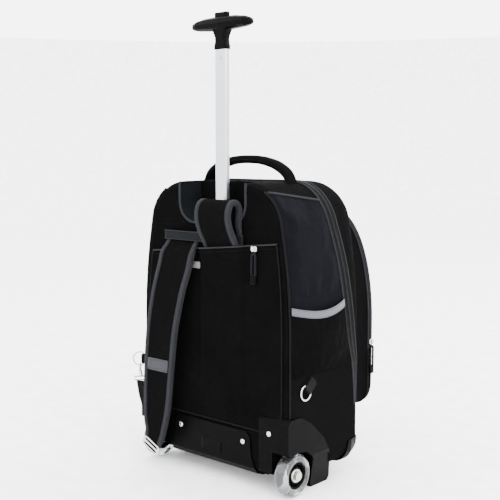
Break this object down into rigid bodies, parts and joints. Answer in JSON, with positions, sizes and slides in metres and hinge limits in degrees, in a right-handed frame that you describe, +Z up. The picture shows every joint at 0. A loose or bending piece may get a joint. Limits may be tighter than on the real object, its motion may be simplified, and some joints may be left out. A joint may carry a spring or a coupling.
{
  "type": "wheeled backpack",
  "caption": "Wheeled backpack with a telescoping T-grip pull handle in a back bay, zipped front and back pockets, side pockets, a grab handle and padded straps, on wheels and moulded feet.",
  "frame": {"origin": "on the floor, under the middle of the bounding box", "axes": "+X to the bag's right-hand wheel, +Y from the back panel with the straps to the front pocket, +Z up"},
  "size_m": [0.3758, 0.3044, 0.775],
  "materials": {
    "black_cloth": "woven polyester, matt",
    "side_cloth": "fine twill, slight sheen",
    "mesh_cloth": "knitted, matt",
    "zip_cloth": "zip tape with a moulded coil",
    "slate_webbing": "ribbed webbing, matt",
    "reflective_cloth": "smooth reflective coating",
    "black_plastic": "fine moulded grain",
    "aluminium_tube": "satin anodised",
    "bright_steel": "plated, bright",
    "clear_tyre": "clear, polished"
  },
  "bodies": {
    "bag": {"back_panel": "black_cloth", "top_panel": "black_cloth", "base_panel": "black_cloth", "front_panel": "black_cloth", "pocket_gusset": "black_cloth", "pocket_front": "black_cloth", "grab_handle": "black_cloth", "strap_right": "black_cloth", "strap_left": "black_cloth", "dring_tab_right": "black_cloth", "dring_tab_left": "black_cloth", "lower_webbing": "black_cloth", "side_panel_right": "side_cloth", "side_panel_left": "side_cloth", "back_pocket": "mesh_cloth", "side_pocket_right": "mesh_cloth", "side_pocket_left": "mesh_cloth", "main_zipper": "zip_cloth", "pocket_zipper": "zip_cloth", "pocket_zip_puller": "slate_webbing", "main_zip_puller": "slate_webbing", "back_zip_puller": "slate_webbing", "handle_bay": "slate_webbing", "strap_band": "slate_webbing", "pocket_trim_right": "reflective_cloth", "pocket_trim_left": "reflective_cloth", "strap_tab": "reflective_cloth", "tube_collar": "black_plastic", "wheel_housing_right": "black_plastic", "wheel_housing_left": "black_plastic", "kick_plate": "black_plastic", "corner_guard_right": "black_plastic", "corner_guard_left": "black_plastic", "outer_tube": "aluminium_tube", "pocket_zip_slider": "bright_steel", "main_zip_slider": "bright_steel", "back_zip_slider": "bright_steel", "name_plate": "bright_steel", "dring_right": "bright_steel", "dring_left": "bright_steel", "snap_hook": "bright_steel", "strap_slider": "bright_steel", "axle_right": "bright_steel", "axle_left": "bright_steel", "kick_rivet_right": "bright_steel", "kick_rivet_left": "bright_steel", "housing_rivet_right": "bright_steel", "housing_rivet_left": "bright_steel"},
    "mast": {"inner_tube": "aluminium_tube", "tube_plug": "black_plastic", "tube_pin": "bright_steel", "grip": "black_plastic"},
    "button": {"grip_button": "black_plastic"},
    "wheel_right": {"tyre_right": "clear_tyre", "hub_right": "black_plastic", "bearing_right": "bright_steel"},
    "wheel_left": {"tyre_left": "clear_tyre", "hub_left": "black_plastic", "bearing_left": "bright_steel"}
  },
  "joints": [
    {"name": "handle_slide", "type": "slide", "parent": "bag", "child": "mast", "axis": [0, 0, 1], "range_m": [-0.262, 0]},
    {"name": "button_press", "type": "slide", "parent": "mast", "child": "button", "axis": [0, 0, 1], "range_m": [-0.004, 0], "stiffness_N_per_m": 1500, "springref_m": 0.001},
    {"name": "wheel_right_spin", "type": "hinge", "parent": "bag", "child": "wheel_right", "pos_m": [0.16115, -0.0906, 0.035], "axis": [1, 0, 0], "continuous": true},
    {"name": "wheel_left_spin", "type": "hinge", "parent": "bag", "child": "wheel_left", "pos_m": [-0.14645, -0.0906, 0.035], "axis": [1, 0, 0], "continuous": true}
  ]
}
